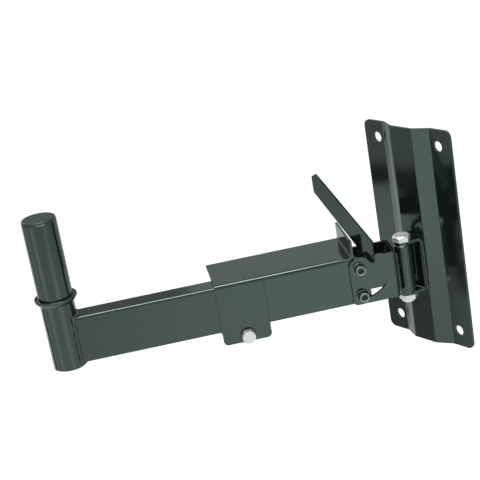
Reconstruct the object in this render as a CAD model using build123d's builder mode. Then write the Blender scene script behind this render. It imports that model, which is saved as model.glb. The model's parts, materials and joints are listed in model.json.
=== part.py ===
from build123d import *
from math import cos, radians, sin
import os

# All lengths are in millimetres. The wall is the plane y = 0 and the room is at negative y.

# Wall plate
PLATE_WIDTH = 120.0
PLATE_HEIGHT = 235.0
PLATE_SHEET = 2.5
PLATE_RAISE = 8.0
PLATE_CENTRE_HALF = 15.0
PLATE_WEB_RUN = 17.5
PLATE_BEND = 3.5
PLATE_CORNER = 7.0
WALL_HOLE_X = 85.0
WALL_HOLE_Z = 200.0
WALL_HOLE_R = 5.5

# Hinge
HINGE_OUT = 27.0
HINGE_PIN_R = 5.0
PIN_GAP = 0.08
FIT_GAP = 0.02
BARREL_R = 9.0
BARREL_LOW = -1.0
BARREL_HIGH = 49.6
WELD_HALF = 8.4
WELD_REACH = 0.72
WELD_END_GAP = 2.5
HINGE_WASHER = 0.7
HINGE_WASHER_R = 8.6
END_GAP = 0.3
BRACKET_SHEET = 3.0
BRACKET_BEND = 3.2
EYE_R = 8.5
BRACKET_HALF = 13.0
HINGE_HEX_R = 9.8
HINGE_HEAD = 6.4
HINGE_CHAMFER = 2.2
HINGE_NUT_HEX = 4.5
HINGE_NUT = 8.6

# Arm, measured from the hinge pin: x outward, y sideways, z up from ARM_Z
ARM_Z = -52.0
REST_SWING = -29.9
MOVING_GAP = 0.3

# Rectangular tube
TUBE_DEPTH = 50.0
TUBE_WIDTH = 25.0
TUBE_WALL = 2.0
TUBE_CORNER = 3.0
TUBE_LOW = -1.0
TUBE_IN_END = 149.0

# Pole
POLE_X = 355.0
POLE_R = 17.5
POLE_FOOT_R = 17.2
POLE_WALL = 2.0
POLE_LOW = -4.0
POLE_HIGH = 152.0
COLLAR_Z = 66.0
COLLAR_R = 21.6
COLLAR_HEIGHT = 6.0
SHOULDER_GAP = 0.3
CAP_RIM = 2.5
CAP_RIM_R = 17.2
CAP_DEPTH = 12.0
ARM_BEAD = 3.0
ARM_BEAD_RISE = 2.5
PLUG_EDGE = 0.2
PLUG_FLANGE = 1.8
PLUG_DEPTH = 14.0
PLUG_WALL = 2.0
PLUG_CORNER = 1.0

# Sleeve
SLEEVE_SHEET = 2.5
SLEEVE_BEND = 2.75
SLEEVE_IN = 57.0
SLEEVE_OUT = 199.0
SLEEVE_LOW = 1.7
SHELF_SIDE = 50.0
UPSTAND_TOP = 69.2
TAB_LENGTH = 50.0
TAB_LOW = -14.0
TAB_CORNER = 5.0
EAR_R = 9.6
GROOVE = 0.5

# Yoke
YOKE_SHEET = 3.0
YOKE_BASE_GAP = 2.6
YOKE_BEND = 3.0
YOKE_LOW = 1.0
YOKE_HIGH = 50.6
YOKE_REACH = 61.0
YOKE_SIDE_GAP = 0.4
PIVOT_X = 51.0
PIVOT_Z = 39.8
LOCK_ARM = 29.2
TILT_MAX = 48.0
CHEEK_ROUND = 10.9
CHEEK_NOTCH = 3.2
SCREW_R = 3.0
NEAR_SLOT_HALF = 4.3
FAR_SLOT_HALF = 3.4
HEAD_R = 5.4
HEAD_HEIGHT = 6.0
SOCKET_R = 3.5
SOCKET_DEPTH = 3.2
WASHER_R = 6.6
WASHER = 1.2
NUT_HEX_R = 5.8
NUT = 6.0
SPACER_R = 6.0

# Stop tongue of the near cheek
FOLD_X = 35.6
TONGUE_TURN = 42.0
TONGUE_BACK = -2.1
TONGUE_LOW = 43.0
TONGUE_LOW_END = 3.6
TONGUE_BACK_TOP = 65.5
TONGUE_END = 57.3
TONGUE_END_LOW = 116.9
TONGUE_END_HIGH = 133.7
TONGUE_TIP = 53.1
TONGUE_TIP_HIGH = 136.0

# Sleeve clamp
CLAMP_X = 173.2
CLAMP_Z = -7.5
CLAMP_R = 4.0
CLAMP_HEX_R = 7.5
CLAMP_HEAD = 5.3
CLAMP_NUT = 6.5
CLAMP_WASHER_R = 8.2
CLAMP_WASHER = 1.6

# Values that follow from the ones above
SLEEVE_INNER = TUBE_WIDTH / 2 + MOVING_GAP
SLEEVE_OUTER = SLEEVE_INNER + SLEEVE_SHEET
TUBE_MID = TUBE_LOW + TUBE_DEPTH / 2
SHELF_UNDER = TUBE_LOW + TUBE_DEPTH + MOVING_GAP
SHELF_MID = SHELF_UNDER + SLEEVE_SHEET / 2
CHEEK_INNER = SLEEVE_OUTER + YOKE_SIDE_GAP
CHEEK_OUTER = CHEEK_INNER + YOKE_SHEET
CHEEK_MID = CHEEK_INNER + YOKE_SHEET / 2
LOCK_Z = PIVOT_Z - LOCK_ARM
EAR_TOP_UNDER = BARREL_HIGH + HINGE_WASHER + END_GAP
EAR_LOW_TOP = BARREL_LOW - HINGE_WASHER - END_GAP
EAR_TOP = EAR_TOP_UNDER + BRACKET_SHEET
EAR_LOW = EAR_LOW_TOP - BRACKET_SHEET
PLATE_FRONT = PLATE_RAISE + PLATE_SHEET

# Planes of the arm in its rest position
out_dir = Vector(sin(radians(REST_SWING)), -cos(radians(REST_SWING)), 0)
side_dir = Vector(cos(radians(REST_SWING)), sin(radians(REST_SWING)), 0)
pin_foot = Vector(0, -HINGE_OUT, ARM_Z)
arm_plan = Plane(origin=pin_foot, x_dir=out_dir, z_dir=(0, 0, 1))
arm_side = Plane(origin=pin_foot, x_dir=out_dir, z_dir=-side_dir)
arm_end = Plane(origin=pin_foot, x_dir=side_dir, z_dir=out_dir)
plate_plan = Plane.XY.offset(-PLATE_HEIGHT / 2)
hinge_plan = Plane.XY.offset(ARM_Z)


def level(height):
    """A plan of the arm at a height."""
    return arm_plan.offset(height)


def beside(distance):
    """An upright plane along the arm, at a distance toward the near side."""
    return arm_side.offset(-distance)


def station(distance):
    """An upright plane across the arm, at a distance from the hinge pin."""
    return arm_end.offset(distance)


# Wall plate: one folded sheet with a raised centre
foot = PLATE_CENTRE_HALF + PLATE_WEB_RUN
sheet_mid = PLATE_SHEET / 2
with BuildPart() as wall_plate:
    with BuildSketch(plate_plan):
        with BuildLine():
            FilletPolyline(
                (-PLATE_WIDTH / 2, -sheet_mid),
                (-foot, -sheet_mid),
                (-PLATE_CENTRE_HALF, -PLATE_RAISE - sheet_mid),
                (PLATE_CENTRE_HALF, -PLATE_RAISE - sheet_mid),
                (foot, -sheet_mid),
                (PLATE_WIDTH / 2, -sheet_mid),
                radius=PLATE_BEND,
            )
        trace(line_width=PLATE_SHEET)
    extrude(amount=PLATE_HEIGHT)
    with BuildSketch(Plane.XZ):
        RectangleRounded(PLATE_WIDTH, PLATE_HEIGHT, PLATE_CORNER)
    extrude(amount=PLATE_FRONT + 1, both=True, mode=Mode.INTERSECT)
    with BuildSketch(Plane.XZ):
        with GridLocations(WALL_HOLE_X, WALL_HOLE_Z, 2, 2):
            Circle(WALL_HOLE_R)
    extrude(amount=PLATE_FRONT + 1, both=True, mode=Mode.SUBTRACT)

# Hinge bracket: a U seen from the side, with rounded ears in plan
back_mid = -PLATE_FRONT - BRACKET_SHEET / 2
ear_tip = -HINGE_OUT - EYE_R - 1
with BuildPart() as hinge_bracket:
    with BuildSketch(Plane.YZ):
        with BuildLine():
            FilletPolyline(
                (ear_tip, ARM_Z + EAR_TOP - BRACKET_SHEET / 2),
                (back_mid, ARM_Z + EAR_TOP - BRACKET_SHEET / 2),
                (back_mid, ARM_Z + EAR_LOW + BRACKET_SHEET / 2),
                (ear_tip, ARM_Z + EAR_LOW + BRACKET_SHEET / 2),
                radius=BRACKET_BEND,
            )
        trace(line_width=BRACKET_SHEET)
    extrude(amount=BRACKET_HALF, both=True)
    with BuildSketch(hinge_plan.offset(EAR_LOW)):
        with BuildLine():
            Polyline(
                (-EYE_R, -HINGE_OUT),
                (-BRACKET_HALF, -PLATE_FRONT),
                (BRACKET_HALF, -PLATE_FRONT),
                (EYE_R, -HINGE_OUT),
                close=True,
            )
        make_face()
        with Locations((0, -HINGE_OUT)):
            Circle(EYE_R)
    extrude(amount=EAR_TOP - EAR_LOW, mode=Mode.INTERSECT)
    with BuildSketch(hinge_plan.offset(EAR_LOW)):
        with Locations((0, -HINGE_OUT)):
            Circle(HINGE_PIN_R + FIT_GAP)
    extrude(amount=EAR_TOP - EAR_LOW, mode=Mode.SUBTRACT)

# Hinge bolt
with BuildPart() as hinge_bolt:
    with BuildSketch(level(EAR_TOP)):
        RegularPolygon(HINGE_HEX_R, 6)
    extrude(amount=HINGE_HEAD)
    with BuildSketch(level(EAR_TOP)):
        Circle(HINGE_HEX_R - HINGE_CHAMFER + HINGE_HEAD)
    extrude(amount=HINGE_HEAD, taper=45, mode=Mode.INTERSECT)
    with BuildSketch(level(EAR_TOP)):
        Circle(HINGE_PIN_R)
    extrude(amount=-(EAR_TOP - EAR_LOW + HINGE_NUT_HEX))

# Domed nut under the lower ear
with BuildPart() as hinge_nut:
    with BuildSketch(level(EAR_LOW)):
        RegularPolygon(HINGE_HEX_R, 6)
    extrude(amount=-HINGE_NUT_HEX)
    with BuildSketch(level(EAR_LOW - HINGE_NUT_HEX)):
        Circle(HINGE_HEX_R * 0.8)
    extrude(amount=-(HINGE_NUT - HINGE_NUT_HEX))
    fillet(hinge_nut.faces().sort_by(Axis.Z)[0].edges(), radius=3.4)
    with BuildSketch(level(EAR_LOW)):
        Circle(HINGE_PIN_R)
    extrude(amount=-HINGE_NUT_HEX, mode=Mode.SUBTRACT)

# Thrust washers at both ends of the barrel
with BuildPart() as hinge_washers:
    with BuildSketch(level(BARREL_HIGH)):
        Circle(HINGE_WASHER_R)
        Circle(HINGE_PIN_R + PIN_GAP, mode=Mode.SUBTRACT)
    extrude(amount=HINGE_WASHER)
    with BuildSketch(level(BARREL_LOW)):
        Circle(HINGE_WASHER_R)
        Circle(HINGE_PIN_R + PIN_GAP, mode=Mode.SUBTRACT)
    extrude(amount=-HINGE_WASHER)

# Swivel barrel
with BuildPart() as swivel_barrel:
    with BuildSketch(level(BARREL_LOW)):
        Circle(BARREL_R)
        Circle(HINGE_PIN_R + PIN_GAP, mode=Mode.SUBTRACT)
    extrude(amount=BARREL_HIGH - BARREL_LOW)
    chamfer(swivel_barrel.edges().filter_by(GeomType.CIRCLE).group_by(SortBy.RADIUS)[-1], length=0.6)

# Weld between barrel and yoke, filling the narrow gap
base_face = BARREL_R + YOKE_BASE_GAP
with BuildPart() as barrel_weld:
    with BuildSketch(level(YOKE_LOW + WELD_END_GAP)):
        with BuildLine():
            Polyline(
                (base_face, -WELD_HALF),
                (base_face, WELD_HALF),
                (BARREL_R * WELD_REACH, WELD_HALF * WELD_REACH),
                (BARREL_R * WELD_REACH, -WELD_HALF * WELD_REACH),
                close=True,
            )
        make_face()
        Circle(BARREL_R, mode=Mode.SUBTRACT)
    extrude(amount=BARREL_HIGH - YOKE_LOW - 2 * WELD_END_GAP)

# Stop tongue, a flat plate fixed to the near cheek; it joins the yoke below
turn = radians(TONGUE_TURN)
tongue_dir = out_dir * cos(turn) - side_dir * sin(turn)
tongue_normal = out_dir * sin(turn) + side_dir * cos(turn)
fold_point = pin_foot + out_dir * FOLD_X + side_dir * CHEEK_MID
tongue_face = Plane(origin=fold_point, x_dir=tongue_dir, z_dir=-tongue_normal)
with BuildPart() as stop_tongue:
    with BuildSketch(tongue_face):
        with BuildLine():
            FilletPolyline(
                (TONGUE_BACK, TONGUE_LOW),
                (TONGUE_LOW_END, TONGUE_LOW),
                (TONGUE_END, TONGUE_END_LOW),
                (TONGUE_END, TONGUE_END_HIGH),
                (TONGUE_TIP, TONGUE_TIP_HIGH),
                (TONGUE_BACK, TONGUE_BACK_TOP),
                radius=0.8,
                close=True,
            )
        make_face()
    extrude(amount=YOKE_SHEET / 2, both=True)

# Swivel yoke
base_mid = BARREL_R + YOKE_BASE_GAP + YOKE_SHEET / 2
slot_reach = radians(TILT_MAX)
slot_start = 270 - TILT_MAX
slot_turn = TILT_MAX
slot_low = (PIVOT_X, LOCK_Z)
slot_high = (PIVOT_X - LOCK_ARM * sin(slot_reach), PIVOT_Z - LOCK_ARM * cos(slot_reach))
with BuildPart() as swivel_yoke:
    with BuildSketch(level(YOKE_LOW)):
        with BuildLine():
            FilletPolyline(
                (YOKE_REACH, CHEEK_MID),
                (base_mid, CHEEK_MID),
                (base_mid, -CHEEK_MID),
                (YOKE_REACH, -CHEEK_MID),
                radius=YOKE_BEND,
            )
        trace(line_width=YOKE_SHEET)
    extrude(amount=YOKE_HIGH - YOKE_LOW)
    with BuildSketch(beside(0)):
        with Locations((PIVOT_X, PIVOT_Z)):
            Rectangle(YOKE_REACH, YOKE_HIGH, align=(Align.MIN, Align.MIN))
            Circle(CHEEK_ROUND, mode=Mode.SUBTRACT)
        with Locations((YOKE_REACH, YOKE_LOW)):
            Rectangle(CHEEK_NOTCH, CHEEK_NOTCH, rotation=45)
    extrude(amount=CHEEK_OUTER + 1, both=True, mode=Mode.SUBTRACT)
    with BuildSketch(beside(CHEEK_MID)):
        with BuildLine():
            Polyline(
                (FOLD_X - 1, TONGUE_LOW),
                (FOLD_X + 2.6, TONGUE_LOW),
                (FOLD_X + 8.4, YOKE_HIGH + 1),
                (FOLD_X - 1, YOKE_HIGH + 1),
                close=True,
            )
        make_face()
    extrude(amount=YOKE_SHEET, both=True, mode=Mode.SUBTRACT)
    add(stop_tongue.part)
    with BuildSketch(beside(0)):
        with Locations((PIVOT_X, PIVOT_Z)):
            Circle(SCREW_R + FIT_GAP)
    extrude(amount=CHEEK_OUTER + 1, both=True, mode=Mode.SUBTRACT)
    with BuildSketch(beside(CHEEK_INNER - 0.2)):
        with BuildLine():
            CenterArc((PIVOT_X, PIVOT_Z), LOCK_ARM, slot_start, slot_turn)
        trace(line_width=2 * NEAR_SLOT_HALF)
        with Locations(slot_low, slot_high):
            Circle(NEAR_SLOT_HALF)
    extrude(amount=-(YOKE_SHEET + 1), mode=Mode.SUBTRACT)
    with BuildSketch(beside(-CHEEK_INNER + 0.2)):
        with BuildLine():
            CenterArc((PIVOT_X, PIVOT_Z), LOCK_ARM, slot_start, slot_turn)
        trace(line_width=2 * FAR_SLOT_HALF)
        with Locations(slot_low, slot_high):
            Circle(FAR_SLOT_HALF)
    extrude(amount=YOKE_SHEET + 1, mode=Mode.SUBTRACT)

# Outer sleeve: near wall, wide shelf, upstand, far wall and clamp tabs
tab_in = SLEEVE_OUT - TAB_LENGTH
wall_end = PIVOT_X - EAR_R
with BuildPart() as outer_sleeve:
    with BuildSketch(station(SLEEVE_IN)):
        with BuildLine():
            FilletPolyline(
                (SLEEVE_INNER + SLEEVE_SHEET / 2, SLEEVE_LOW),
                (SLEEVE_INNER + SLEEVE_SHEET / 2, SHELF_MID),
                (-SHELF_SIDE, SHELF_MID),
                radius=SLEEVE_BEND,
            )
        trace(line_width=SLEEVE_SHEET)
    extrude(amount=SLEEVE_OUT - SLEEVE_IN)
    with BuildSketch(beside(SLEEVE_OUTER)):
        with BuildLine():
            FilletPolyline(
                (SLEEVE_IN + 12, SHELF_MID),
                (SLEEVE_IN - SLEEVE_SHEET / 2, SHELF_MID),
                (SLEEVE_IN - SLEEVE_SHEET / 2, UPSTAND_TOP),
                radius=SLEEVE_BEND,
            )
        trace(line_width=SLEEVE_SHEET)
    extrude(amount=SLEEVE_OUTER + SHELF_SIDE)
    with BuildSketch(beside(SLEEVE_OUTER), beside(-SLEEVE_INNER)):
        with BuildLine():
            Polyline(
                (wall_end, SLEEVE_LOW),
                (tab_in, SLEEVE_LOW),
                (tab_in, TAB_LOW),
                (SLEEVE_OUT, TAB_LOW),
                (SLEEVE_OUT, SHELF_UNDER - SLEEVE_BEND),
                (SLEEVE_IN - 1, SHELF_UNDER - SLEEVE_BEND),
                (SLEEVE_IN - 1, PIVOT_Z),
                (wall_end, PIVOT_Z),
                close=True,
            )
        make_face()
        with Locations((PIVOT_X, PIVOT_Z)):
            Circle(EAR_R)
    extrude(amount=SLEEVE_SHEET)
    with BuildSketch(beside(-SLEEVE_INNER)):
        with Locations((SLEEVE_IN, SHELF_UNDER)):
            Rectangle(SLEEVE_OUT - SLEEVE_IN, SLEEVE_BEND + 1, align=(Align.MIN, Align.MAX))
    extrude(amount=SLEEVE_SHEET)
    with BuildSketch(beside(0)):
        with Locations((PIVOT_X, PIVOT_Z)):
            Circle(SCREW_R + PIN_GAP)
        with Locations((PIVOT_X, LOCK_Z)):
            Circle(SCREW_R + FIT_GAP)
        with Locations((CLAMP_X, CLAMP_Z)):
            Circle(CLAMP_R + FIT_GAP)
    extrude(amount=SLEEVE_OUTER + 1, both=True, mode=Mode.SUBTRACT)
    with BuildSketch(beside(SLEEVE_OUTER)):
        with Locations((tab_in, SLEEVE_LOW)):
            Rectangle(1.0, SHELF_UNDER - SLEEVE_LOW - 2, align=(Align.CENTER, Align.MIN))
    extrude(amount=GROOVE, mode=Mode.SUBTRACT)
    tab_edges = outer_sleeve.edges().filter_by(Axis((0, 0, 0), side_dir))
    fillet(tab_edges.group_by(Axis.Z)[0], radius=TAB_CORNER)

# Tilt pivot screw, held by the yoke
with BuildPart() as tilt_pivot_screw:
    with BuildSketch(beside(CHEEK_OUTER + WASHER)):
        with Locations((PIVOT_X, PIVOT_Z)):
            Circle(HEAD_R)
    extrude(amount=-HEAD_HEIGHT)
    chamfer(tilt_pivot_screw.edges(), length=0.5)
    with BuildSketch(beside(CHEEK_OUTER + WASHER + HEAD_HEIGHT)):
        with Locations((PIVOT_X, PIVOT_Z)):
            RegularPolygon(SOCKET_R, 6)
    extrude(amount=SOCKET_DEPTH, mode=Mode.SUBTRACT)
    with BuildSketch(beside(CHEEK_OUTER + WASHER)):
        with Locations((PIVOT_X, PIVOT_Z)):
            Circle(SCREW_R)
    extrude(amount=2 * CHEEK_OUTER + 2 * WASHER + NUT + 1.5)

# Washers of the tilt pivot
with BuildPart() as pivot_washers:
    with BuildSketch(beside(CHEEK_OUTER + WASHER), beside(-CHEEK_OUTER)):
        with Locations((PIVOT_X, PIVOT_Z)):
            Circle(WASHER_R)
            Circle(SCREW_R + FIT_GAP, mode=Mode.SUBTRACT)
    extrude(amount=WASHER)

# Nut of the tilt pivot
with BuildPart() as pivot_nut:
    with BuildSketch(beside(-CHEEK_OUTER - WASHER)):
        with Locations((PIVOT_X, PIVOT_Z)):
            RegularPolygon(NUT_HEX_R, 6)
            Circle(SCREW_R, mode=Mode.SUBTRACT)
    extrude(amount=NUT)

# Spacer of the tilt pivot, inside the sleeve
with BuildPart() as pivot_spacer:
    with BuildSketch(beside(SLEEVE_INNER)):
        with Locations((PIVOT_X, PIVOT_Z)):
            Circle(SPACER_R)
            Circle(SCREW_R + PIN_GAP, mode=Mode.SUBTRACT)
    extrude(amount=2 * SLEEVE_INNER)

# Tilt lock screw, held by the sleeve; its washers stand clear of the cheeks
LOCK_FACE = CHEEK_OUTER + MOVING_GAP
with BuildPart() as tilt_lock_screw:
    with BuildSketch(beside(LOCK_FACE + WASHER)):
        with Locations((PIVOT_X, LOCK_Z)):
            Circle(HEAD_R)
    extrude(amount=-HEAD_HEIGHT)
    chamfer(tilt_lock_screw.edges(), length=0.5)
    with BuildSketch(beside(LOCK_FACE + WASHER + HEAD_HEIGHT)):
        with Locations((PIVOT_X, LOCK_Z)):
            RegularPolygon(SOCKET_R, 6)
    extrude(amount=SOCKET_DEPTH, mode=Mode.SUBTRACT)
    with BuildSketch(beside(LOCK_FACE + WASHER)):
        with Locations((PIVOT_X, LOCK_Z)):
            Circle(SCREW_R)
    extrude(amount=2 * LOCK_FACE + 2 * WASHER + NUT + 1.5)

# Washers of the tilt lock
with BuildPart() as lock_washers:
    with BuildSketch(beside(LOCK_FACE + WASHER), beside(-LOCK_FACE)):
        with Locations((PIVOT_X, LOCK_Z)):
            Circle(WASHER_R)
            Circle(SCREW_R + FIT_GAP, mode=Mode.SUBTRACT)
    extrude(amount=WASHER)

# Nut of the tilt lock
with BuildPart() as lock_nut:
    with BuildSketch(beside(-LOCK_FACE - WASHER)):
        with Locations((PIVOT_X, LOCK_Z)):
            RegularPolygon(NUT_HEX_R, 6)
            Circle(SCREW_R, mode=Mode.SUBTRACT)
    extrude(amount=NUT)

# Spacer of the tilt lock, inside the sleeve
with BuildPart() as lock_spacer:
    with BuildSketch(beside(SLEEVE_INNER)):
        with Locations((PIVOT_X, LOCK_Z)):
            Circle(SPACER_R)
            Circle(SCREW_R + FIT_GAP, mode=Mode.SUBTRACT)
    extrude(amount=2 * SLEEVE_INNER)

# Clamp bolt under the tube
with BuildPart() as clamp_bolt:
    with BuildSketch(beside(SLEEVE_OUTER + CLAMP_WASHER)):
        with Locations((CLAMP_X, CLAMP_Z)):
            RegularPolygon(CLAMP_HEX_R, 6)
    extrude(amount=-CLAMP_HEAD)
    with BuildSketch(beside(SLEEVE_OUTER + CLAMP_WASHER)):
        with Locations((CLAMP_X, CLAMP_Z)):
            Circle(CLAMP_HEX_R * 0.96)
    extrude(amount=-CLAMP_HEAD, taper=6, mode=Mode.INTERSECT)
    with BuildSketch(beside(SLEEVE_OUTER + CLAMP_WASHER)):
        with Locations((CLAMP_X, CLAMP_Z)):
            Circle(CLAMP_R)
    extrude(amount=2 * SLEEVE_OUTER + 2 * CLAMP_WASHER + CLAMP_NUT + 3)

# Washers of the clamp bolt
with BuildPart() as clamp_washers:
    with BuildSketch(beside(SLEEVE_OUTER + CLAMP_WASHER), beside(-SLEEVE_OUTER)):
        with Locations((CLAMP_X, CLAMP_Z)):
            Circle(CLAMP_WASHER_R)
            Circle(CLAMP_R + FIT_GAP, mode=Mode.SUBTRACT)
    extrude(amount=CLAMP_WASHER)

# Nut of the clamp bolt
with BuildPart() as clamp_nut:
    with BuildSketch(beside(-SLEEVE_OUTER - CLAMP_WASHER)):
        with Locations((CLAMP_X, CLAMP_Z)):
            RegularPolygon(CLAMP_HEX_R, 6)
            Circle(CLAMP_R, mode=Mode.SUBTRACT)
    extrude(amount=CLAMP_NUT)

# Inner tube, coped to fit the pole
with BuildPart() as inner_tube:
    with BuildSketch(station(TUBE_IN_END)):
        with Locations((0, TUBE_MID)):
            RectangleRounded(TUBE_WIDTH, TUBE_DEPTH, TUBE_CORNER)
            RectangleRounded(
                TUBE_WIDTH - 2 * TUBE_WALL,
                TUBE_DEPTH - 2 * TUBE_WALL,
                TUBE_CORNER - TUBE_WALL,
                mode=Mode.SUBTRACT,
            )
    extrude(amount=POLE_X - TUBE_IN_END)
    with BuildSketch(level(POLE_LOW)):
        with Locations((POLE_X, 0)):
            Circle(POLE_FOOT_R)
    extrude(amount=POLE_HIGH - POLE_LOW, mode=Mode.SUBTRACT)

# Plug in the tube's inner end
bore_width = TUBE_WIDTH - 2 * TUBE_WALL
bore_depth = TUBE_DEPTH - 2 * TUBE_WALL
with BuildPart() as tube_end_plug:
    with BuildSketch(station(TUBE_IN_END)):
        with Locations((0, TUBE_MID)):
            RectangleRounded(TUBE_WIDTH - 2 * PLUG_EDGE, TUBE_DEPTH - 2 * PLUG_EDGE, TUBE_CORNER)
    extrude(amount=-PLUG_FLANGE)
    with BuildSketch(station(TUBE_IN_END)):
        with Locations((0, TUBE_MID)):
            RectangleRounded(bore_width, bore_depth, PLUG_CORNER)
            RectangleRounded(
                bore_width - 2 * PLUG_WALL,
                bore_depth - 2 * PLUG_WALL,
                PLUG_CORNER,
                mode=Mode.SUBTRACT,
            )
    extrude(amount=PLUG_DEPTH)

# Weld bead round the tube at the pole
with BuildPart() as arm_weld:
    with BuildSketch(level(TUBE_LOW - ARM_BEAD_RISE)):
        with Locations((POLE_X, 0)):
            Circle(POLE_FOOT_R + ARM_BEAD)
    extrude(amount=TUBE_DEPTH + 2 * ARM_BEAD_RISE)
    with BuildSketch(station(TUBE_IN_END)):
        with Locations((0, TUBE_MID)):
            RectangleRounded(
                TUBE_WIDTH + 2 * ARM_BEAD_RISE,
                TUBE_DEPTH + 2 * ARM_BEAD_RISE,
                TUBE_CORNER + ARM_BEAD_RISE,
            )
    extrude(amount=POLE_X - TUBE_IN_END, mode=Mode.INTERSECT)
    with BuildSketch(station(TUBE_IN_END)):
        with Locations((0, TUBE_MID)):
            RectangleRounded(TUBE_WIDTH, TUBE_DEPTH, TUBE_CORNER)
    extrude(amount=POLE_X - TUBE_IN_END, mode=Mode.SUBTRACT)
    with BuildSketch(level(POLE_LOW)):
        with Locations((POLE_X, 0)):
            Circle(POLE_FOOT_R)
    extrude(amount=POLE_HIGH - POLE_LOW, mode=Mode.SUBTRACT)

# Speaker pole, with a small shoulder above the collar
shoulder = COLLAR_Z + COLLAR_HEIGHT + SHOULDER_GAP
with BuildPart() as pole_tube:
    with BuildSketch(level(POLE_LOW)):
        with Locations((POLE_X, 0)):
            Circle(POLE_FOOT_R)
    extrude(amount=shoulder - POLE_LOW)
    with BuildSketch(level(shoulder)):
        with Locations((POLE_X, 0)):
            Circle(POLE_R)
    extrude(amount=POLE_HIGH - shoulder)
    with BuildSketch(level(POLE_LOW)):
        with Locations((POLE_X, 0)):
            Circle(POLE_R - POLE_WALL)
    extrude(amount=POLE_HIGH - POLE_LOW, mode=Mode.SUBTRACT)
    chamfer(pole_tube.edges().filter_by(GeomType.CIRCLE).group_by(Axis.Z)[-1].sort_by(SortBy.RADIUS)[-1], length=0.5)

# Flared collar that the speaker rests on
with BuildPart() as pole_collar:
    with BuildSketch(arm_side):
        with BuildLine():
            Polyline(
                (POLE_X + POLE_FOOT_R, COLLAR_Z),
                (POLE_X + POLE_FOOT_R + 1.6, COLLAR_Z),
                (POLE_X + COLLAR_R, COLLAR_Z + COLLAR_HEIGHT - 2.2),
                (POLE_X + COLLAR_R, COLLAR_Z + COLLAR_HEIGHT),
                (POLE_X + POLE_FOOT_R, COLLAR_Z + COLLAR_HEIGHT),
                close=True,
            )
        make_face()
    revolve(axis=Axis(pin_foot + out_dir * POLE_X, (0, 0, 1)))
    fillet(pole_collar.edges().filter_by(GeomType.CIRCLE).group_by(SortBy.RADIUS)[-1], radius=0.8)

# Plastic cap in the pole's top
with BuildPart() as pole_cap:
    with BuildSketch(level(POLE_HIGH)):
        with Locations((POLE_X, 0)):
            Circle(CAP_RIM_R)
    extrude(amount=CAP_RIM)
    fillet(pole_cap.edges().sort_by(Axis.Z)[-1], radius=1.6)
    with BuildSketch(level(POLE_HIGH)):
        with Locations((POLE_X, 0)):
            Circle(POLE_R - POLE_WALL)
            Circle(POLE_R - 2 * POLE_WALL, mode=Mode.SUBTRACT)
    extrude(amount=-CAP_DEPTH)

# Save every piece
wall_plate.part.label = "wall_plate"
hinge_bracket.part.label = "hinge_bracket"
hinge_bolt.part.label = "hinge_bolt"
hinge_nut.part.label = "hinge_nut"
hinge_washers.part.label = "hinge_washers"
swivel_barrel.part.label = "swivel_barrel"
barrel_weld.part.label = "barrel_weld"
swivel_yoke.part.label = "swivel_yoke"
tilt_pivot_screw.part.label = "tilt_pivot_screw"
pivot_washers.part.label = "pivot_washers"
pivot_nut.part.label = "pivot_nut"
pivot_spacer.part.label = "pivot_spacer"
tilt_lock_screw.part.label = "tilt_lock_screw"
lock_washers.part.label = "lock_washers"
lock_nut.part.label = "lock_nut"
lock_spacer.part.label = "lock_spacer"
outer_sleeve.part.label = "outer_sleeve"
clamp_bolt.part.label = "clamp_bolt"
clamp_washers.part.label = "clamp_washers"
clamp_nut.part.label = "clamp_nut"
inner_tube.part.label = "inner_tube"
tube_end_plug.part.label = "tube_end_plug"
arm_weld.part.label = "arm_weld"
pole_tube.part.label = "pole_tube"
pole_collar.part.label = "pole_collar"
pole_cap.part.label = "pole_cap"

os.makedirs("parts", exist_ok=True)
export_step(wall_plate.part, "parts/wall_plate.step")
export_step(hinge_bracket.part, "parts/hinge_bracket.step")
export_step(hinge_bolt.part, "parts/hinge_bolt.step")
export_step(hinge_nut.part, "parts/hinge_nut.step")
export_step(hinge_washers.part, "parts/hinge_washers.step")
export_step(swivel_barrel.part, "parts/swivel_barrel.step")
export_step(barrel_weld.part, "parts/barrel_weld.step")
export_step(swivel_yoke.part, "parts/swivel_yoke.step")
export_step(tilt_pivot_screw.part, "parts/tilt_pivot_screw.step")
export_step(pivot_washers.part, "parts/pivot_washers.step")
export_step(pivot_nut.part, "parts/pivot_nut.step")
export_step(pivot_spacer.part, "parts/pivot_spacer.step")
export_step(tilt_lock_screw.part, "parts/tilt_lock_screw.step")
export_step(lock_washers.part, "parts/lock_washers.step")
export_step(lock_nut.part, "parts/lock_nut.step")
export_step(lock_spacer.part, "parts/lock_spacer.step")
export_step(outer_sleeve.part, "parts/outer_sleeve.step")
export_step(clamp_bolt.part, "parts/clamp_bolt.step")
export_step(clamp_washers.part, "parts/clamp_washers.step")
export_step(clamp_nut.part, "parts/clamp_nut.step")
export_step(inner_tube.part, "parts/inner_tube.step")
export_step(tube_end_plug.part, "parts/tube_end_plug.step")
export_step(arm_weld.part, "parts/arm_weld.step")
export_step(pole_tube.part, "parts/pole_tube.step")
export_step(pole_collar.part, "parts/pole_collar.step")
export_step(pole_cap.part, "parts/pole_cap.step")
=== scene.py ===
import json
import math

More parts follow.
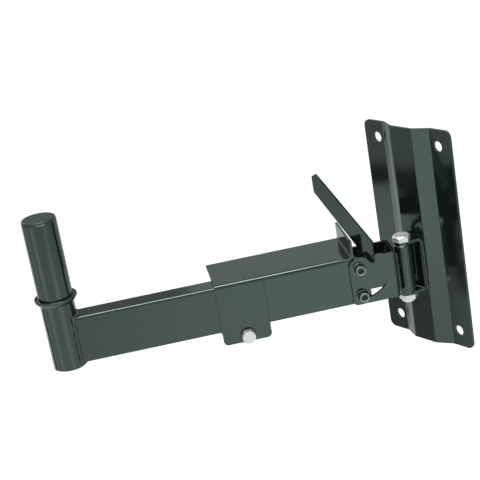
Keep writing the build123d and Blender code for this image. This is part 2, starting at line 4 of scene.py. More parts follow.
import bpy
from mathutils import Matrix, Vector


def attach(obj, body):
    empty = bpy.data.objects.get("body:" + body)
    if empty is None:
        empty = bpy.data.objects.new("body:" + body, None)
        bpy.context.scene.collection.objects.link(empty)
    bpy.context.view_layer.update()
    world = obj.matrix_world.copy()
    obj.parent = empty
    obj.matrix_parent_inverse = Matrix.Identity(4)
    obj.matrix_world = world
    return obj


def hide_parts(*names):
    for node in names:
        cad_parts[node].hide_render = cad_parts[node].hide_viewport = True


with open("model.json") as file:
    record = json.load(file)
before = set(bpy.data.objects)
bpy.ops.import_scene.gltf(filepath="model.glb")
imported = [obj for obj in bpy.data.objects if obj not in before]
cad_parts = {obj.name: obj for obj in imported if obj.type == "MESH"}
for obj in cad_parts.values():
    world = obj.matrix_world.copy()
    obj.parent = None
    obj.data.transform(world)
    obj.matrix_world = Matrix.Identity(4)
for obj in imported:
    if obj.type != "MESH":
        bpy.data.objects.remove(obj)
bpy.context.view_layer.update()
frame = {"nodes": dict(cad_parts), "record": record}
nodes = frame["nodes"]
scene = bpy.context.scene

# The frame is in metres, and the arm's own sizes are in millimetres at rest
MM = 0.001
REST_SWING = math.radians(-29.9)
PIN_FOOT = Vector((0.0, -27.0, -52.0)) * MM

# The arm's directions: out from the hinge pin, sideways toward the near side, and up
OUT = Vector((math.sin(REST_SWING), -math.cos(REST_SWING), 0.0))
SIDE = Vector((math.cos(REST_SWING), math.sin(REST_SWING), 0.0))
UP = Vector((0.0, 0.0, 1.0))

# Sizes and places of the arm's pieces
TUBE_HALF_WIDTH = 12.5
TUBE_LOW = -1.0
TUBE_HIGH = 49.0
TUBE_MIDDLE = (TUBE_LOW + TUBE_HIGH) / 2
TUBE_CORNER = 3.0
POLE_X = 355.0
POLE_FOOT_R = 17.2
PIVOT_X = 51.0
PIVOT_Z = 39.8
LOCK_Z = 10.6
CLAMP_X = 173.2
CLAMP_Z = -7.5

# What the weld beads share, in millimetres
WELD_STEP = 0.3
SMALL_WELD_STEP = 0.35
WELD_PITCH = 1.5
WELD_SIDES = 12

# The height of a bead's ripples, as a share of its radius
WELD_RIPPLE = 0.22

# An open bead grows from this share of its radius to all of it, over so many rings at each end
END_TAPER = 0.55
END_RINGS = 5

# Sine waves that a bead's radius swells by: share of the radius, radians for each metre, and start
WELD_SWELL = ((0.05, 900.0, 0.0), (0.04, 2130.0, 1.0))

# Sine waves that a bead wanders by: millimetres, radians for each step of the path, and start
ARM_WELD_WANDER = ((0.3, 0.37, 0.0), (0.25, 0.149, 2.0))
BARREL_WELD_WANDER_OUT = ((0.22, 0.41, 0.0),)
BARREL_WELD_WANDER_SIDE = ((0.22, 0.29, 1.0),)

# The bead round the tube where it meets the pole
ARM_WELD_R = 1.9
ARM_WELD_PITCH = 2.3
ARM_WELD_SINK = 0.3
ARM_WELD_WIDER = 1.02
ARM_WELD_TALLER = 1.01

# The beads beside the barrel
BARREL_WELD_R = 2.3
BARREL_WELD_PITCH = 2.6
BARREL_WELD_X = 9.6
BARREL_WELD_Y = 7.4
BARREL_WELD_FOOT = 4.0
BARREL_WELD_TOP = 44.0

# The beads that hold the hinge bracket to the plate, in the frame's own directions
BRACKET_WELD_R = 1.3
BRACKET_WELD_X = 13.0
BRACKET_WELD_Y = -10.9
BRACKET_WELD_FOOT = -56.0
BRACKET_WELD_TOP = -2.5

# The short beads under the sleeve's wide top
SHELF_WELD_R = 1.6
SHELF_WELD_X = {"inner": 70.0, "middle": 120.0, "outer": 170.0}
SHELF_WELD_LENGTH = 18.0
SHELF_WELD_Y = -15.6
SHELF_WELD_Z = 49.0

# Threads on the screws' ends, in millimetres, with each end's place sideways
M8_R = 4.0
M8_PITCH = 1.25
M6_R = 3.0
M6_PITCH = 1.0
CLAMP_THREAD_ENDS = (-23.6, -26.2)
TILT_THREAD_ENDS = (-25.9, -27.3)
LOCK_THREAD_ENDS = (-26.2, -27.7)
THREAD_STEPS = 18

# The thread's ridge: rises from the screw's radius, each at a share of the pitch
THREAD_RIDGE = ((-0.15, -0.46), (0.16, 0.0), (-0.15, 0.46))

# Grooves round the socket screws' heads, with each end's place sideways
TILT_KNURL_ENDS = (20.6, 25.2)
LOCK_KNURL_ENDS = (20.9, 25.5)
KNURL_TEETH = 40
KNURL_R = 5.4
KNURL_HIGH = 0.16
KNURL_LOW = -0.05

# The profile of the screws' rims: radii, each with its rise from the head's face
RIM_STEPS = 48
RIM_PROFILE = ((4.0, -0.1), (4.05, 0.06), (4.2, 0.14), (4.45, 0.16), (4.7, 0.1), (4.86, -0.1))

# How rough all noise textures are
NOISE_ROUGHNESS = 0.55

# The middle part of a noise texture's values, which a material spreads over its own range
NOISE_LOW = 0.3
NOISE_HIGH = 0.7

# How well a rounded normal agrees with the flat one, on a clear edge and on a flat
BEVEL_SAMPLES = 6
EDGE_AGREES = 0.72
FLAT_AGREES = 0.985


def arm(x, y, z):
    """A point in the arm's millimetres, as a point of the frame in metres."""
    return PIN_FOOT + (OUT * x + SIDE * y + UP * z) * MM


def waves(at, parts):
    """A sum of sine waves at one place. Each part is a size, a rate and a start."""
    return sum(size * math.sin(at * rate + start) for size, rate, start in parts)


# Shader nodes
def principled(name, color, metallic, roughness, specular):
    """A new material with its shader and the tools to add nodes."""
    mat = bpy.data.materials.new(name)
    mat.use_nodes = True
    tree = mat.node_tree
    shader = tree.nodes["Principled BSDF"]
    shader.inputs["Base Color"].default_value = (*color, 1.0)
    shader.inputs["Metallic"].default_value = metallic
    shader.inputs["Roughness"].default_value = roughness
    shader.inputs["Specular IOR Level"].default_value = specular
    return mat, tree, shader


def noise(tree, scale, detail):
    """A noise texture in object coordinates, in metres."""
    place = tree.nodes.new("ShaderNodeTexCoord")
    tex = tree.nodes.new("ShaderNodeTexNoise")
    tex.inputs["Scale"].default_value = scale
    tex.inputs["Detail"].default_value = detail
    tex.inputs["Roughness"].default_value = NOISE_ROUGHNESS
    tree.links.new(place.outputs["Object"], tex.inputs["Vector"])
    return tex.outputs["Fac"]


def remap(tree, value, low, high, start=0.0, end=1.0):
    """Spreads a value that runs from start to end over low to high."""
    node = tree.nodes.new("ShaderNodeMapRange")
    node.inputs["From Min"].default_value = start
    node.inputs["From Max"].default_value = end
    node.inputs["To Min"].default_value = low
    node.inputs["To Max"].default_value = high
    tree.links.new(value, node.inputs["Value"])
    return node.outputs["Result"]


def combined(tree, operation, first, second):
    """One value from two other nodes' outputs."""
    node = tree.nodes.new("ShaderNodeMath")
    node.operation = operation
    tree.links.new(first, node.inputs[0])
    tree.links.new(second, node.inputs[1])
    return node.outputs[0]


def blend_colors(tree, factor, first, second):
    """A colour between two colours. Each is a colour or another node's output."""
    node = tree.nodes.new("ShaderNodeMix")
    node.data_type = "RGBA"
    tree.links.new(factor, node.inputs["Factor"])
    for key, value in (("A", first), ("B", second)):
        socket = [s for s in node.inputs if s.name == key and s.type == "RGBA"][0]
        if isinstance(value, tuple):
            socket.default_value = (*value, 1.0)
        else:
            tree.links.new(value, socket)
    return [s for s in node.outputs if s.type == "RGBA"][0]


def glow(tree, color, strength):
    """A light-giving shader."""
    node = tree.nodes.new("ShaderNodeEmission")
    node.inputs["Color"].default_value = (*color, 1.0)
    node.inputs["Strength"].default_value = strength
    return node


def shown_to(tree, rays, shader):
    """A shader that only the given rays meet."""
    node = tree.nodes.new("ShaderNodeMixShader")
    tree.links.new(rays, node.inputs["Fac"])
    tree.links.new(shader.outputs[0], node.inputs[2])
    return node


def both(tree, first, second):
    """The sum of two shaders."""
    node = tree.nodes.new("ShaderNodeAddShader")
    tree.links.new(first.outputs[0], node.inputs[0])
    tree.links.new(second.outputs[0], node.inputs[1])
    return node


def edge_mask(tree, radius):
    """A rounded normal, and a value that is 1 on outer and inner edges and 0 on flats."""
    bevel = tree.nodes.new("ShaderNodeBevel")
    bevel.samples = BEVEL_SAMPLES
    bevel.inputs["Radius"].default_value = radius
    flat = tree.nodes.new("ShaderNodeNewGeometry")
    dot = tree.nodes.new("ShaderNodeVectorMath")
    dot.operation = "DOT_PRODUCT"
    tree.links.new(bevel.outputs["Normal"], dot.inputs[0])
    tree.links.new(flat.outputs["Normal"], dot.inputs[1])
    mask = remap(tree, dot.outputs["Value"], 1.0, 0.0, EDGE_AGREES, FLAT_AGREES)
    return bevel.outputs["Normal"], mask


def bump(tree, shader, layers, normal=None):
    """Stacks bump layers, each a height and its strength and depth in metres."""
    for height, strength, depth in layers:
        node = tree.nodes.new("ShaderNodeBump")
        node.inputs["Strength"].default_value = strength
        node.inputs["Distance"].default_value = depth
        tree.links.new(height, node.inputs["Height"])
        if normal is not None:
            tree.links.new(normal, node.inputs["Normal"])
        normal = node.outputs["Normal"]
    tree.links.new(normal, shader.inputs["Normal"])


def dress(tree, shader, color, grain, smooth, rough):
    """Sets a shader's colour, and a roughness that goes from smooth to rough with a noise texture."""
    tree.links.new(color, shader.inputs["Base Color"])
    roughness = remap(tree, grain, smooth, rough, NOISE_LOW, NOISE_HIGH)
    tree.links.new(roughness, shader.inputs["Roughness"])


# Materials
def coat_material():
    """Semi-gloss black coating: orange peel, faint dust, and thin painted highlights on the edges,
    broken up by noise.
    """
    mat, tree, shader = principled(
        "black_coat", (0.01, 0.014, 0.013), metallic=0.0, roughness=0.1, specular=1.0
    )
    shader.inputs["IOR"].default_value = 1.52
    shader.inputs["Specular Tint"].default_value = (0.78, 1.0, 0.93, 1.0)
    soft_normal, edge = edge_mask(tree, 0.0006)
    cloud = noise(tree, scale=14.0, detail=4.0)
    fine = noise(tree, scale=320.0, detail=3.0)
    body = blend_colors(tree, cloud, (0.005, 0.008, 0.007), (0.01, 0.014, 0.013))
    speck = remap(tree, noise(tree, scale=1500.0, detail=2.0), 0.0, 0.2, 0.72, 0.82)
    dusty = blend_colors(tree, speck, body, (0.10, 0.115, 0.112))
    # Painted highlight: outer and inner edges are lightened by colour, broken up by noise
    edge_highlight_paint = combined(tree, "MULTIPLY", edge, remap(tree, fine, 0.2, 0.8, NOISE_LOW, NOISE_HIGH))
    color = blend_colors(tree, edge_highlight_paint, dusty, (0.09, 0.11, 0.104))
    dress(tree, shader, color, cloud, smooth=0.07, rough=0.11)
    peel = noise(tree, scale=650.0, detail=2.0)
    bump(tree, shader, [(peel, 0.05, 0.0001), (fine, 0.035, 0.0002)], soft_normal)
    return mat


def weld_material():
    """Coated weld metal: the same black, glossier on its ripples."""
    mat, tree, shader = principled(
        "weld_coat", (0.012, 0.016, 0.015), metallic=0.0, roughness=0.12, specular=0.8
    )
    shader.inputs["IOR"].default_value = 1.6
    shader.inputs["Specular Tint"].default_value = (0.88, 1.0, 0.98, 1.0)
    grain = noise(tree, scale=800.0, detail=3.0)
    color = blend_colors(tree, grain, (0.006, 0.009, 0.009), (0.02, 0.025, 0.024))
    dress(tree, shader, color, grain, smooth=0.05, rough=0.2)
    bump(tree, shader, [(noise(tree, scale=420.0, detail=3.0), 0.9, 0.0012)])
    return mat


def zinc_material():
    """Bright zinc plate with a faint cloudy tone, fine handling marks, and painted highlights on its
    edges.
    """
    mat, tree, shader = principled(
        "zinc", (0.86, 0.87, 0.86), metallic=0.7, roughness=0.4, specular=0.6
    )
    soft_normal, edge = edge_mask(tree, 0.0005)
    cloud = noise(tree, scale=160.0, detail=4.0)
    plate = blend_colors(tree, cloud, (0.8, 0.81, 0.8), (0.94, 0.94, 0.92))
    # Painted highlight: the edges are lightened by colour
    color = blend_colors(tree, edge, plate, (0.97, 0.97, 0.95))
    dress(tree, shader, color, cloud, smooth=0.38, rough=0.52)
    scratch = noise(tree, scale=1500.0, detail=2.0)
    bump(tree, shader, [(scratch, 0.2, 0.0001)], soft_normal)
    return mat


def dark_zinc_material():
    """Zinc in a much darker tone, on the washers at the clamp."""
    mat, tree, shader = principled(
        "dark_zinc", (0.09, 0.1, 0.095), metallic=1.0, roughness=0.34, specular=0.5
    )
    cloud = noise(tree, scale=300.0, detail=3.0)
    color = blend_colors(tree, cloud, (0.05, 0.06, 0.055), (0.13, 0.145, 0.135))
    dress(tree, shader, color, cloud, smooth=0.28, rough=0.42)
    bump(tree, shader, [(cloud, 0.2, 0.0001)])
    return mat


def oxide_material():
    """Satin black oxide of the socket screws, with painted highlights on the edges."""
    mat, tree, shader = principled(
        "black_oxide", (0.04, 0.047, 0.045), metallic=0.9, roughness=0.22, specular=0.6
    )
    soft_normal, edge = edge_mask(tree, 0.0008)
    cloud = noise(tree, scale=500.0, detail=3.0)
    body = blend_colors(tree, cloud, (0.02, 0.026, 0.024), (0.05, 0.06, 0.056))
    # Painted highlight: the edges are lightened by colour
    color = blend_colors(tree, edge, body, (0.72, 0.78, 0.75))
    dress(tree, shader, color, cloud, smooth=0.18, rough=0.32)
    bump(tree, shader, [(cloud, 0.15, 0.0001)], soft_normal)
    return mat


def painted_highlight_steel_material():
    """Bright steel for a screw's rim: a painted highlight where the rim catches light."""
    mat, tree, shader = principled(
        "painted_highlight_steel", (0.5, 0.55, 0.53), metallic=1.0, roughness=0.32, specular=0.5
    )
    cloud = noise(tree, scale=900.0, detail=3.0)
    color = blend_colors(tree, cloud, (0.3, 0.34, 0.325), (0.62, 0.68, 0.65))
    dress(tree, shader, color, cloud, smooth=0.4, rough=0.26)
    bump(tree, shader, [(cloud, 0.2, 0.0001)])
    return mat


def plastic_material():
    """Black moulded plastic with a fine matt grain, and painted highlights on its edges."""
    mat, tree, shader = principled(
        "black_plastic", (0.012, 0.018, 0.016), metallic=0.0, roughness=0.35, specular=0.8
    )
    shader.inputs["Specular Tint"].default_value = (0.72, 1.0, 0.92, 1.0)
    soft_normal, edge = edge_mask(tree, 0.0006)
    grain = noise(tree, scale=1100.0, detail=2.0)
    body = blend_colors(tree, grain, (0.01, 0.017, 0.015), (0.02, 0.03, 0.027))
    # Painted highlight: the edges are lightened by colour
    color = blend_colors(tree, edge, body, (0.06, 0.068, 0.066))
    dress(tree, shader, color, grain, smooth=0.3, rough=0.42)
    bump(tree, shader, [(grain, 0.3, 0.0001)], soft_normal)
    return mat


looks = {
    "black_coat": coat_material(),
    "zinc": zinc_material(),
    "black_oxide": oxide_material(),
    "black_plastic": plastic_material(),
}
weld_look = weld_material()
# Bright steel on the screws' rims is a painted highlight
painted_highlight_steel = painted_highlight_steel_material()
for entry in frame["record"]["subparts"]:
    mesh = nodes[entry["node"]].data
    mesh.materials.clear()
    mesh.materials.append(looks[entry["material_slot"]])
nodes["clamp_washers"].data.materials[0] = dark_zinc_material()


# Meshes
def new_object(name, verts, faces, look):
    """A new mesh object with one material."""
    mesh = bpy.data.meshes.new(name)
    mesh.from_pydata([tuple(v) for v in verts], [], faces)
    mesh.materials.append(look)
    obj = bpy.data.objects.new(name, mesh)
    scene.collection.objects.link(obj)
    return obj


def add_piece(name, verts, faces, body, look, smooth=True):
    """A new mesh that rides on a body."""
    obj = new_object(name, verts, faces, look)
    obj.data.validate()
    for face in obj.data.polygons:
        face.use_smooth = smooth
    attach(obj, body)
    return obj


def swept(points, radius, closed, pitch):
    """Rings of vertices along a path, with weld ripples, and the faces between them."""
    count = len(points)
    lean = Vector((0.31, 0.17, 0.93))  # parallel to no bead
    verts, faces = [], []
    travelled = 0.0
    for i, point in enumerate(points):
        before = points[(i - 1) % count] if closed or i else point
        after = points[(i + 1) % count] if closed or i < count - 1 else point
        along = (after - before).normalized()
        if i:
            travelled += (point - points[i - 1]).length
        across = along.cross(lean).normalized()
        over = across.cross(along)
        phase = (travelled / pitch) % 1.0
        size = radius * (1.0 + WELD_RIPPLE * (1.0 - phase) ** 2 - WELD_RIPPLE * 0.5)
        size *= 1.0 + waves(travelled, WELD_SWELL)
        if not closed:
            rings_from_end = min(i, count - 1 - i)
            size *= min(1.0, END_TAPER + (1.0 - END_TAPER) * rings_from_end / END_RINGS)
        for k in range(WELD_SIDES):
            turn = 2 * math.pi * k / WELD_SIDES
            verts.append(point + (across * math.cos(turn) + over * math.sin(turn)) * size)
    for i in range(count if closed else count - 1):
        this_ring = i * WELD_SIDES
        next_ring = (i + 1) % count * WELD_SIDES
        for k in range(WELD_SIDES):
            m = (k + 1) % WELD_SIDES
            faces.append((this_ring + k, this_ring + m, next_ring + m, next_ring + k))
    if not closed:
        last_ring = (count - 1) * WELD_SIDES
        faces.append(tuple(range(WELD_SIDES))[::-1])
        faces.append(tuple(last_ring + k for k in range(WELD_SIDES)))
    return verts, faces


def line_points(start, end, step):
    """Evenly spaced points from start to end."""
    count = max(2, int((end - start).length / step))
    return [start.lerp(end, i / count) for i in range(count + 1)]


def weld(name, points, radius, body, closed=False, pitch=WELD_PITCH):
    """A rippled weld bead along points, with its radius and pitch in millimetres."""
    verts, faces = swept(points, radius * MM, closed, pitch * MM)
    return add_piece(name, verts, faces, body, weld_look)


# Weld bead round the tube where it meets the pole
def tube_outline(step, bend_steps=6):
    """Points round the tube's section, as (side, height) pairs in millimetres."""
    r = TUBE_CORNER
    side = TUBE_HALF_WIDTH - r
    corners = (
        (side, TUBE_HIGH - r, 0),
        (-side, TUBE_HIGH - r, 90),
        (-side, TUBE_LOW + r, 180),
        (side, TUBE_LOW + r, 270),
    )
    outline = []
    for cy, cz, start in corners:
        arc = [math.radians(start + 90 * i / bend_steps) for i in range(bend_steps + 1)]
        bend = [Vector((cy + r * math.cos(a), cz + r * math.sin(a), 0)) for a in arc]
        if outline:
            outline += line_points(outline[-1], bend[0], step)[1:-1]
        outline += bend
    outline += line_points(outline[-1], outline[0], step)[1:-1]
    return outline


def arm_weld_path():
    """The seam between the tube and the round pole, a little uneven as welds are."""
    path = []
    for i, p in enumerate(tube_outline(WELD_STEP)):
        pole_depth = math.sqrt(POLE_FOOT_R**2 - min(abs(p.x), POLE_FOOT_R) ** 2)
        x = POLE_X - pole_depth - ARM_WELD_SINK + waves(i, ARM_WELD_WANDER)
        z = TUBE_MIDDLE + (p.y - TUBE_MIDDLE) * ARM_WELD_TALLER
        path.append(arm(x, p.x * ARM_WELD_WIDER, z))
    return path


arm_bead = weld("arm_weld_bead", arm_weld_path(), ARM_WELD_R, "arm", closed=True, pitch=ARM_WELD_PITCH)
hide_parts("arm_weld")


# Weld beads between the barrel and the yoke
def barrel_weld_path(y):
    """A nearly straight upright path at one side of the barrel."""
    foot = arm(BARREL_WELD_X, y, BARREL_WELD_FOOT)
    top = arm(BARREL_WELD_X, y, BARREL_WELD_TOP)
    path = []
    for i, point in enumerate(line_points(foot, top, WELD_STEP * MM)):
        drift = OUT * waves(i, BARREL_WELD_WANDER_OUT) + SIDE * waves(i, BARREL_WELD_WANDER_SIDE)
        path.append(point + drift * MM)
    return path


for label, y_mm in (("near", BARREL_WELD_Y), ("far", -BARREL_WELD_Y)):
    path = barrel_weld_path(y_mm)
    bead = weld(f"barrel_weld_{label}", path, BARREL_WELD_R, "yoke", pitch=BARREL_WELD_PITCH)
    if label == "near":
        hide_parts("barrel_weld")

# Weld beads that hold the hinge bracket to the plate
for label, x_mm in (("left", -BRACKET_WELD_X), ("right", BRACKET_WELD_X)):
    foot = Vector((x_mm, BRACKET_WELD_Y, BRACKET_WELD_FOOT)) * MM
    top = Vector((x_mm, BRACKET_WELD_Y, BRACKET_WELD_TOP)) * MM
    weld(f"bracket_weld_{label}", line_points(foot, top, SMALL_WELD_STEP * MM), BRACKET_WELD_R, "wall")

# Short weld beads between the sleeve's far wall and the underside of its wide top
for label, x_mm in SHELF_WELD_X.items():
    start = arm(x_mm, SHELF_WELD_Y, SHELF_WELD_Z)
    end = arm(x_mm + SHELF_WELD_LENGTH, SHELF_WELD_Y, SHELF_WELD_Z)
    weld(f"shelf_weld_{label}", line_points(start, end, SMALL_WELD_STEP * MM), SHELF_WELD_R, "sleeve")


# Trim of the screws
def round_screw(x_mm, y_mm, z_mm, r, turn):
    """A point at radius r round a screw that lies along the side direction."""
    return arm(x_mm + r * math.cos(turn), y_mm, z_mm + r * math.sin(turn))


def thread(name, x_mm, z_mm, radius, pitch, ends, body, slot_name):
    """A helical ridge on the end of a screw that lies along the side direction."""
    y_start, y_end = ends
    count = int(abs(y_end - y_start) / pitch * THREAD_STEPS)
    verts, faces = [], []
    for i in range(count + 1):
        turn = 2 * math.pi * i / THREAD_STEPS
        y = y_start + (y_end - y_start) * i / count
        for rise, offset in THREAD_RIDGE:
            verts.append(round_screw(x_mm, y + offset * pitch, z_mm, radius + rise, turn))
    for i in range(count):
        a, b = 3 * i, 3 * (i + 1)
        faces += [(a, a + 1, b + 1, b), (a + 1, a + 2, b + 2, b + 1)]
    return add_piece(name, verts, faces, body, looks[slot_name])


thread("clamp_thread", CLAMP_X, CLAMP_Z, M8_R, M8_PITCH, CLAMP_THREAD_ENDS, "sleeve", "zinc")
thread("tilt_thread", PIVOT_X, PIVOT_Z, M6_R, M6_PITCH, TILT_THREAD_ENDS, "yoke", "black_oxide")
thread("lock_thread", PIVOT_X, LOCK_Z, M6_R, M6_PITCH, LOCK_THREAD_ENDS, "sleeve", "black_oxide")


def knurl(name, x_mm, z_mm, ends, body):
    """Fine straight grooves round the head of a socket screw."""
    verts, faces = [], []
    for i in range(KNURL_TEETH * 2):
        r = KNURL_R + (KNURL_HIGH if i % 2 else KNURL_LOW)
        for y in ends:
            verts.append(round_screw(x_mm, y, z_mm, r, math.pi * i / KNURL_TEETH))
    total = KNURL_TEETH * 4
    for i in range(KNURL_TEETH * 2):
        a = 2 * i
        faces.append((a, a + 1, (a + 3) % total, (a + 2) % total))
    return add_piece(name, verts, faces, body, looks["black_oxide"], smooth=False)


knurl("tilt_screw_knurl", PIVOT_X, PIVOT_Z, TILT_KNURL_ENDS, "yoke")
knurl("lock_screw_knurl", PIVOT_X, LOCK_Z, LOCK_KNURL_ENDS, "sleeve")


def rim(name, x_mm, z_mm, node, body):
    """The raised rim round the socket of a screw, on the head's face, in bright steel as a painted
    highlight.
    """
    face_y = max((v.co - PIN_FOOT).dot(SIDE) for v in nodes[node].data.vertices) / MM
    verts, faces = [], []
    for i in range(RIM_STEPS):
        turn = 2 * math.pi * i / RIM_STEPS
        for r, rise in RIM_PROFILE:
            verts.append(round_screw(x_mm, face_y + rise, z_mm, r, turn))
    row = len(RIM_PROFILE)
    for i in range(RIM_STEPS):
        a, b = i * row, (i + 1) % RIM_STEPS * row
        for k in range(row - 1):
            faces.append((a + k, b + k, b + k + 1, a + k + 1))
        faces.append((a + row - 1, b + row - 1, b, a))
    return add_piece(name, verts, faces, body, painted_highlight_steel)


rim("tilt_screw_rim", PIVOT_X, PIVOT_Z, "tilt_pivot_screw", "yoke")
rim("lock_screw_rim", PIVOT_X, LOCK_Z, "tilt_lock_screw", "sleeve")

# Floor, far below as under a bracket on a wall, with sizes in metres
FLOOR_Z = -0.75
FLOOR_REACH = 30.0
FLOOR_TONE = (0.8, 0.8, 0.8, 1.0)
FLOOR_GLOW = 0.64
MIRRORED_TINT = (0.92, 1.0, 0.98)

# Strength of the mirrored floor in front and at the back, and the stretch in Y where it changes
FRONT_STRENGTH = 0.22
BACK_STRENGTH = 0.07
FRONT_END = 1.2
BACK_START = 1.9

# Soft pools that add to it: middle in X and Y, full radius, end radius, strength, and squash in Y
POOLS = {
    "beside arm": (1.75, -0.65, 0.2, 0.75, 0.42, 1.0),
    "far front": (0.0, -3.0, 0.3, 0.66, 0.42, 0.4),
    "far left": (-2.0, -0.7, 0.3, 0.85, 0.4, 1.0),
    "far right": (2.4, -0.45, 0.2, 0.68, 0.17, 1.0),
    "back right": (1.9, 1.7, 0.3, 1.0, -0.1, 1.0),
}


def pool(tree, place, x, y, inner, outer, strength, squash):
    """A soft pool: full inside the inner radius, none past the outer, and long in Y where squashed."""
    scaled = tree.nodes.new("ShaderNodeVectorMath")
    scaled.operation = "MULTIPLY"
    scaled.inputs[1].default_value = (1.0, squash, 1.0)
    tree.links.new(place, scaled.inputs[0])
    away = tree.nodes.new("ShaderNodeVectorMath")
    away.operation = "DISTANCE"
    away.inputs[1].default_value = (x, y * squash, FLOOR_Z)
    tree.links.new(scaled.outputs[0], away.inputs[0])
    return remap(tree, away.outputs["Value"], strength, 0.0, inner, outer)


def floor_material():
    """Pale floor: white to the camera, and with soft pools of light to glossy faces."""
    mat = bpy.data.materials.new("floor")
    mat.use_nodes = True
    tree = mat.node_tree
    tree.nodes.clear()
    result = tree.nodes.new("ShaderNodeOutputMaterial")
    plain = tree.nodes.new("ShaderNodeBsdfDiffuse")
    plain.inputs["Color"].default_value = FLOOR_TONE
    place = tree.nodes.new("ShaderNodeTexCoord").outputs["Object"]
    split = tree.nodes.new("ShaderNodeSeparateXYZ")
    tree.links.new(place, split.inputs[0])
    sweep = remap(tree, split.outputs["Y"], FRONT_STRENGTH, BACK_STRENGTH, FRONT_END, BACK_START)
    for patch in POOLS.values():
        sweep = combined(tree, "ADD", sweep, pool(tree, place, *patch))
    mirrored = glow(tree, MIRRORED_TINT, 1.0)
    tree.links.new(sweep, mirrored.inputs["Strength"])
    rays = tree.nodes.new("ShaderNodeLightPath").outputs
    seen = combined(tree, "MAXIMUM", rays["Is Camera Ray"], rays["Is Transmission Ray"])
    direct = shown_to(tree, seen, glow(tree, (1.0, 1.0, 1.0), FLOOR_GLOW))
    gloss = shown_to(tree, rays["Is Glossy Ray"], mirrored)
    whole = both(tree, plain, both(tree, direct, gloss))
    tree.links.new(whole.outputs[0], result.inputs["Surface"])
    return mat


floor_corners = [
    (-FLOOR_REACH, -FLOOR_REACH, FLOOR_Z),
    (FLOOR_REACH, -FLOOR_REACH, FLOOR_Z),
    (FLOOR_REACH, FLOOR_REACH, FLOOR_Z),
    (-FLOOR_REACH, FLOOR_REACH, FLOOR_Z),
]
floor = new_object("floor", floor_corners, [(0, 1, 2, 3)], floor_material())

# World: a plain pale room, white near the floor and greyer toward the ceiling
LOW_ROOM = (1.0, 1.0, 1.0)
HIGH_ROOM = (0.46, 0.505, 0.5)
HIGH_ROOM_START = 0.16


def room_world():
    """The room's light, which changes only with height."""
    world = bpy.data.worlds.new("room")
    world.use_nodes = True
    tree = world.node_tree
    background = tree.nodes["Background"]
    background.inputs["Strength"].default_value = 1.0
    place = tree.nodes.new("ShaderNodeTexCoord")
    split = tree.nodes.new("ShaderNodeSeparateXYZ")
    tree.links.new(place.outputs["Generated"], split.inputs[0])
    height = remap(tree, split.outputs["Z"], 0.0, 1.0, 0.0, HIGH_ROOM_START)
    tree.links.new(blend_colors(tree, height, LOW_ROOM, HIGH_ROOM), background.inputs["Color"])
    return world


scene.world = room_world()

# Studio cards and walls, which only show as reflections
CARD_TINT = (0.97, 1.0, 0.99)


def card_material(name, strength):
    """An even glow of one strength."""
    mat = bpy.data.materials.new(name)
    mat.use_nodes = True
    tree = mat.node_tree
    tree.nodes.clear()
    result = tree.nodes.new("ShaderNodeOutputMaterial")
    tree.links.new(glow(tree, CARD_TINT, strength).outputs[0], result.inputs["Surface"])
    return mat


def gloss_card(name, corners, strength):
    """A flat studio card that only shows as a reflection. Corners are points in metres."""
    face = tuple(range(len(corners)))
    obj = new_object(name, corners, [face], card_material(name, strength))
    obj.visible_camera = False
    obj.visible_diffuse = False
    obj.visible_shadow = False
    obj.visible_transmission = False
    return obj


# Cards at the left front, which the wall plate mirrors: a dark one with grey ones round it
CARD_MIDDLE = Vector((-0.689, -0.501, -0.273))
CARD_ACROSS = Vector((-0.5823, 0.8129, 0.0))
CARD_UP = Vector((-0.2741, -0.1963, 0.9415))

# The cards' bounds and the edges that they share, in millimetres across and up on their plane
CARD_START = -214
CARD_JOIN = -146
CARD_END = 20
CARD_FOOT = -330
CARD_TOP = 230
CORNER_AT_JOIN = (CARD_JOIN, -79)
CORNER_IN_MIDDLE = (-134, -20)
upper_edge = [(-10, 90), (-60, 84), (CARD_START, 48)]
middle_edge = [(-10, 52), (-88, 46), (-106, 6), CORNER_IN_MIDDLE]
lower_edge = [CORNER_AT_JOIN, (-168, -159), (CARD_START, -161)]
low_middle_edge = [(CARD_END, -120), (-70, -112), (-80, -60), CORNER_IN_MIDDLE, CORNER_AT_JOIN]

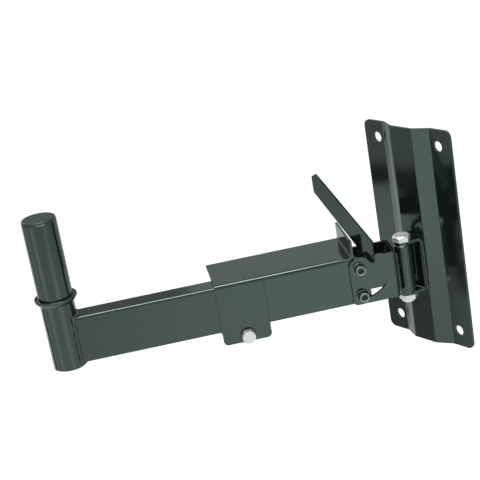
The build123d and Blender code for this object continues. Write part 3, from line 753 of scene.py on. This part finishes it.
cards = (
    ("dark_card", 0.01, middle_edge + lower_edge + upper_edge[::-1]),
    ("upper_card", 0.42, upper_edge + [(CARD_START, CARD_TOP), (CARD_END, CARD_TOP), (CARD_END, 90)]),
    ("lower_card", 0.5, lower_edge + [(CARD_START, CARD_FOOT), (CARD_JOIN, CARD_FOOT)]),
    ("low_middle_card", 0.22, low_middle_edge + [(CARD_JOIN, CARD_FOOT), (CARD_END, CARD_FOOT)]),
)
for card_name, card_level, outline in cards:
    card_corners = [CARD_MIDDLE + (CARD_ACROSS * x + CARD_UP * y) * MM for x, y in outline]
    gloss_card(card_name, card_corners, card_level)

# Dark walls far to the left, which the top faces mirror: ends in Y, foot, and strength
WALL_X = -2.0
WALL_TOP = 1.8
walls = (
    ("left_wall", -0.7, 1.0, 0.25, 0.25),
    ("front_left_wall", -3.2, -0.7, 0.2, 0.01),
)
for wall_name, y_low, y_high, z_low, wall_level in walls:
    low_edge = [(WALL_X, y_low, z_low), (WALL_X, y_high, z_low)]
    high_edge = [(WALL_X, y_high, WALL_TOP), (WALL_X, y_low, WALL_TOP)]
    gloss_card(wall_name, low_edge + high_edge, wall_level)

# Lamps: place, width and height in metres, and power
LAMP_TARGET = Vector((-0.06, -0.15, 0.0))
LAMPS = (
    ("overhead", (0.1, -0.35, 1.5), 0.9, 0.7, 14.0),
    ("left_side", (-1.6, -0.2, 0.9), 0.6, 1.2, 3.6),
    ("front", (0.9, -1.9, 0.9), 1.2, 0.9, 8.0),
)


def lamp(name, place, width, height, power):
    """A soft rectangular studio lamp that points at the bracket."""
    data = bpy.data.lights.new(name, "AREA")
    data.shape = "RECTANGLE"
    data.size = width
    data.size_y = height
    data.energy = power
    obj = bpy.data.objects.new(name, data)
    obj.location = place
    obj.rotation_mode = "QUATERNION"
    obj.rotation_quaternion = (LAMP_TARGET - Vector(place)).to_track_quat("-Z", "Y")
    scene.collection.objects.link(obj)
    return obj


for lamp_values in LAMPS:
    lamp(*lamp_values)

# Camera at the photograph's viewing angle
CAMERA_PLACE = (0.96347, -0.91747, 0.49842)
CAMERA_TURN = (70.009, 9.244, 51.041)
camera_data = bpy.data.cameras.new("camera")
camera_data.sensor_width = 36.0
camera_data.lens = 102.1
camera_data.clip_start = 0.05
camera_data.clip_end = 80.0
camera = bpy.data.objects.new("camera", camera_data)
camera.location = CAMERA_PLACE
camera.rotation_euler = [math.radians(a) for a in CAMERA_TURN]
scene.collection.objects.link(camera)
scene.camera = camera

scene.view_settings.view_transform = "Standard"
